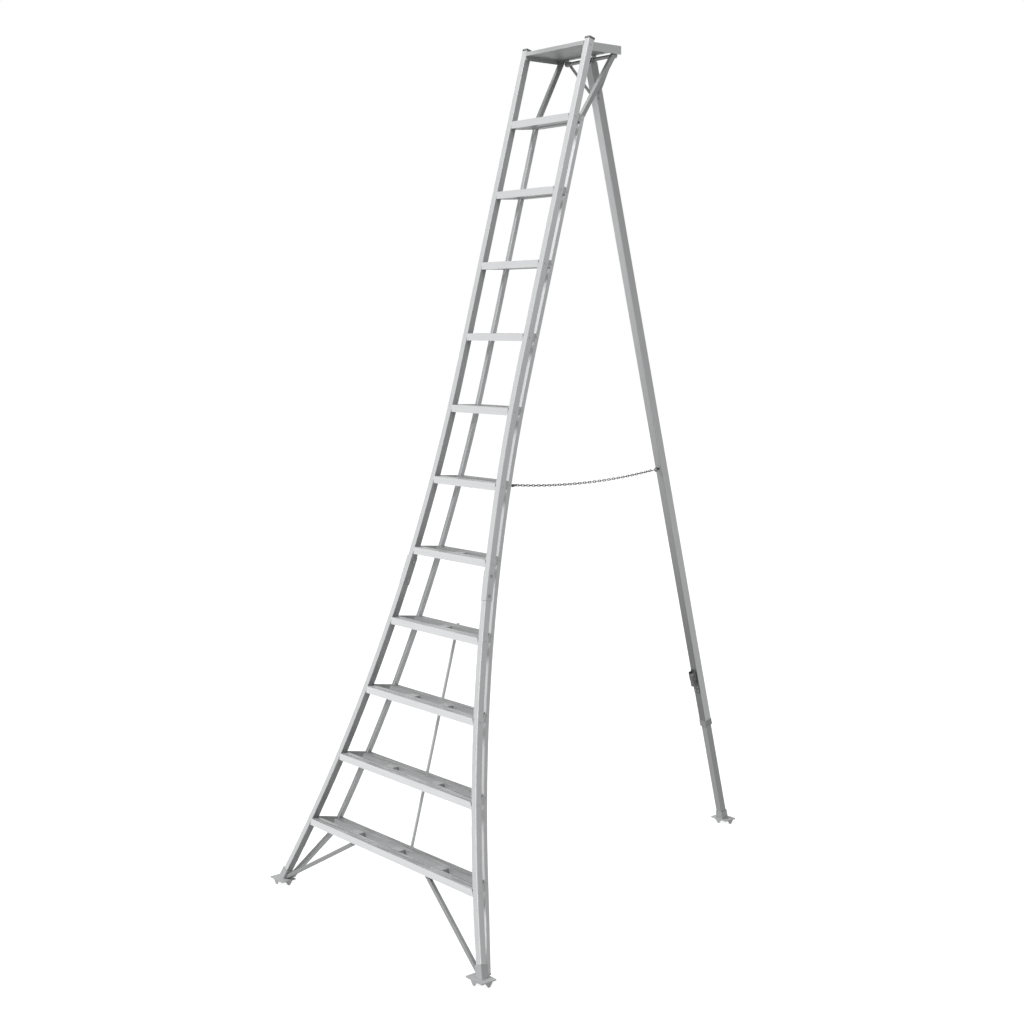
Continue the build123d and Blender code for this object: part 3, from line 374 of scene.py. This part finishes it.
def hull(points):
    """The corners of the convex outline round a set of level points, anticlockwise."""
    ordered = sorted({(round(x, 6), round(y, 6)) for x, y in points})
    halves = []
    for way in (ordered, ordered[::-1]):
        corners = []
        for x, y in way:
            while len(corners) > 1:
                (ax, ay), (bx, by) = corners[-2:]
                if (bx - ax) * (y - ay) - (by - ay) * (x - ax) > 0:
                    break
                corners.pop()
            corners.append((x, y))
        halves.append(corners[:-1])
    return np.array(halves[0] + halves[1])


def section_at(name, height, centre=None, side=0):
    """The outline of a node's points at a height, near a collar's centre or on one side of the ladder."""
    mesh = nodes[name].data
    points = np.empty(len(mesh.vertices) * 3)
    mesh.vertices.foreach_get("co", points)
    points = points.reshape(-1, 3)
    keep = np.abs(points[:, 2] - height) < LEVEL_NEAR
    if side:
        keep &= points[:, 0] * side > 0
    if centre:
        keep &= np.hypot(points[:, 0] - centre[0], points[:, 1] - centre[1]) < COLLAR_NEAR
    return hull(points[keep, :2])


def new_piece(name, points, faces, body):
    """A smooth mesh piece that rides on a body."""
    mesh = bpy.data.meshes.new(name)
    mesh.from_pydata(np.asarray(points).tolist(), [], faces)
    mesh.shade_smooth()
    piece = bpy.data.objects.new(name, mesh)
    scene.collection.objects.link(piece)
    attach(piece, body)
    return piece


def weld_bead(name, outline, height, body):
    """A weld round a level outline, at a height.

    Point (u, v) is the outline at the distance u, plus the section there: the bead's radius times one plus a
    ripple, a sine of u with a wave of 3 mm, times (outwards * cosine of v + upwards * sine of v).
    """
    least_steps, least_waves, spread = 24, 6, 3
    ends = np.roll(outline, -1, axis=0)
    runs = np.hypot(*(ends - outline).T)
    marks = np.concatenate(([0.0], np.cumsum(runs)))
    length = marks[-1]
    count = max(least_steps, int(length / BEAD_STEP))
    distance = np.linspace(0.0, length, count, endpoint=False)
    closed = np.vstack((outline, outline[:1]))
    path = np.stack([np.interp(distance, marks, closed[:, axis]) for axis in (0, 1)], axis=1)
    ahead = np.roll(path, -spread, axis=0) - np.roll(path, spread, axis=0)
    ahead /= np.hypot(*ahead.T)[:, None]
    waves = max(least_waves, round(length / RIPPLE_WAVE))
    swell = BEAD_RADIUS * (1 + RIPPLE_HEIGHT * np.sin(2 * pi * waves * distance / length))
    turn = 2 * pi * np.arange(BEAD_SIDES) / BEAD_SIDES
    grid = np.empty((count, BEAD_SIDES, 3))
    grid[:, :, 0] = path[:, None, 0] + swell[:, None] * ahead[:, None, 1] * np.cos(turn)
    grid[:, :, 1] = path[:, None, 1] - swell[:, None] * ahead[:, None, 0] * np.cos(turn)
    grid[:, :, 2] = height + swell[:, None] * np.sin(turn)
    across = np.arange(BEAD_SIDES)
    beside = (across + 1) % BEAD_SIDES
    along = np.arange(count)[:, None] * BEAD_SIDES
    after = (np.arange(count)[:, None] + 1) % count * BEAD_SIDES
    corners = np.broadcast_arrays(along + across, along + beside, after + beside, after + across)
    faces = np.stack(corners, axis=-1).reshape(-1, 4).tolist()
    return new_piece(name, grid.reshape(-1, 3), faces, body)


rear_collar = section_at("rear_foot", PAD_TOP, centre=(0.0, REAR_COLLAR_Y))
beads = [weld_bead("rear_foot_weld", rear_collar, PAD_TOP, "leg_end")]
for side, way in (("left", -1), ("right", 1)):
    collar = section_at("front_feet", PAD_TOP, centre=(way * COLLAR_X, COLLAR_Y))
    beads.append(weld_bead(f"{side}_foot_weld", collar, PAD_TOP, "frame"))
    toe = section_at(f"{side}_rear_rail", PAD_TOP)
    beads.append(weld_bead(f"{side}_toe_weld", toe, PAD_TOP, "frame"))
    brace = section_at("foot_braces", STEP_UNDER, side=way)
    beads.append(weld_bead(f"{side}_foot_brace_weld", brace, STEP_UNDER, "frame"))
    for level, height in (("lower", RAIL_TOP), ("upper", PLANK_UNDER)):
        brace = section_at("platform_braces", height, side=way)
        beads.append(weld_bead(f"{side}_platform_brace_{level}_weld", brace, height, "frame"))
bead_metal = drawn_metal("bead_metal", (400.0,) * 3, tone=0.38, shine=0.3, rough=0.42)
for bead in beads:
    bead.data.materials.append(bead_metal)

# Bolts and hinge: turned and bent steel with a dull zinc plating. The bolts go right through their tubes,
# and the shaft through the ears of the plate under the platform.
plated_steel = drawn_metal("plated_steel", (40.0,) * 3, tone=0.36, shine=0.4)
paint_nodes(plated_steel, "splice_bolts", "stay_bolt", "hinge_plate", "hinge_shaft")

# Tie rod and clips: a bright plated steel rod that runs up behind the lower steps, held to each by a bent
# clip round it.
rod_metal = drawn_metal("rod_metal", (120.0, 120.0, 4.0), tone=0.58, tilt=-STILE_LEAN, shine=0.3, rough=0.36)
paint_nodes(rod_metal, "tie_rod", "tie_rod_clips")

# Rivets: soft aluminium, set through the tubes' walls into the step bars and the platform. Their domed
# heads are pressed smooth.
rivet_metal = drawn_metal("rivet_metal", (150.0,) * 3, tone=0.52, shine=0.3, rough=0.34)
paint_nodes(rivet_metal, "step_rivets")

# Lock: a bent steel bracket on the leg, with a pin and a cam lever. They are plated, and dulled almost
# black by grease and dirt.
lock_steel = drawn_metal("lock_steel", (70.0,) * 3, tone=0.12, shine=0.4, rough=0.42)
paint_nodes(lock_steel, "lock_bracket", "lock_pin", "lock_lever")

# Screws of the lock: four button heads that hold the bracket to the leg's front face, in plated steel.
# They sit in two rows below the lever's pin.
PIN_HEIGHT = 0.013
PLATE = 0.003
SCREW_ROWS = (0.062, 0.080)
SCREW_COLUMNS = (-0.009, 0.009)
SCREW_RADIUS = 0.0045
SCREW_RISE = 0.0024
SCREW_RINGS = 6
SCREW_SPOKES = 24


def button_heads(name, places, outward, body):
    """Domed screw heads on a face.

    Point (u, v) of a head is its place, plus its radius * v * (side * cosine of u + along * sine of u), plus
    outward * its rise * the square root of one minus v squared.
    """
    side = np.array((1.0, 0.0, 0.0))
    along = np.cross(outward, side)
    points, faces = [], []
    for place in places:
        first = len(points)
        points.append(place + outward * SCREW_RISE)
        for ring in range(1, SCREW_RINGS + 1):
            v = ring / SCREW_RINGS
            for spoke in range(SCREW_SPOKES):
                u = 2 * pi * spoke / SCREW_SPOKES
                flat = side * np.cos(u) + along * np.sin(u)
                points.append(place + SCREW_RADIUS * v * flat + outward * SCREW_RISE * np.sqrt(1 - v * v))
        for spoke in range(SCREW_SPOKES):
            after = (spoke + 1) % SCREW_SPOKES
            faces.append((first, first + 1 + spoke, first + 1 + after))
            for ring in range(SCREW_RINGS - 1):
                inner = first + 1 + ring * SCREW_SPOKES
                outer = inner + SCREW_SPOKES
                faces.append((inner + spoke, outer + spoke, outer + after, inner + after))
    return new_piece(name, points, faces, body)


pin = np.array(joints["lock_lever"]["pos_m"])
down_leg = np.array(LEG_AXIS)
off_leg = np.array((0.0, down_leg[2], -down_leg[1]))
plate_face = pin - off_leg * (PIN_HEIGHT - PLATE)
screw_places = [
    plate_face + down_leg * down + np.array((across, 0.0, 0.0))
    for down in SCREW_ROWS for across in SCREW_COLUMNS
]
screws = button_heads("lock_screws", screw_places, off_leg, "leg")
screws.data.materials.append(plated_steel)

# Chain: welded links of zinc-plated wire, with a shackle at the rail and an S-hook in the leg's eye. It
# has dulled to a dark grey.
chain_steel = drawn_metal("chain_steel", (90.0,) * 3, tone=0.11, shine=0.3, rough=0.42)
paint_nodes(chain_steel, "chain_lug", "chain_shackle", "chain_links", "chain_hook", "leg_eye")

# Caps and guides: moulded grey plastic. The caps are pressed on the ends of the front tubes and into the
# leg's end, and the guide and the bush run between moving pieces.
PLASTIC_TONE = 0.10


def moulded_plastic(name, tone):
    """Moulded plastic: a fine even texture from noise on Object coordinates, with broad scuffs over it."""
    paint = bpy.data.materials.new(name)
    paint.use_nodes = True
    tree = paint.node_tree
    shader = tree.nodes["Principled BSDF"]
    start = Wire(tree)
    place = start.node("ShaderNodeTexCoord", {}, {}, "Object")
    pits = start.noise(place, scale=1600.0, detail=2.0)
    worn = start.slope(start.noise(place, scale=60.0, detail=4.0), 0.45, 0.75)
    dark = (tone, tone, tone * 1.03, 1)
    pale = (tone * 1.8, tone * 1.8, tone * 1.8, 1)
    tree.links.new(start.blend(worn, dark, pale).socket, shader.inputs["Base Color"])
    tree.links.new((pits * 0.12 + worn * 0.10 + 0.42).socket, shader.inputs["Roughness"])
    bump = start.node("ShaderNodeBump", {}, {"Height": pits, "Strength": 0.3, "Distance": 0.0002})
    tree.links.new(bump.socket, shader.inputs["Normal"])
    return paint


cap_plastic = moulded_plastic("cap_plastic", PLASTIC_TONE)
paint_nodes(cap_plastic, "tube_caps", "leg_cap", "leg_guide", "leg_bush")
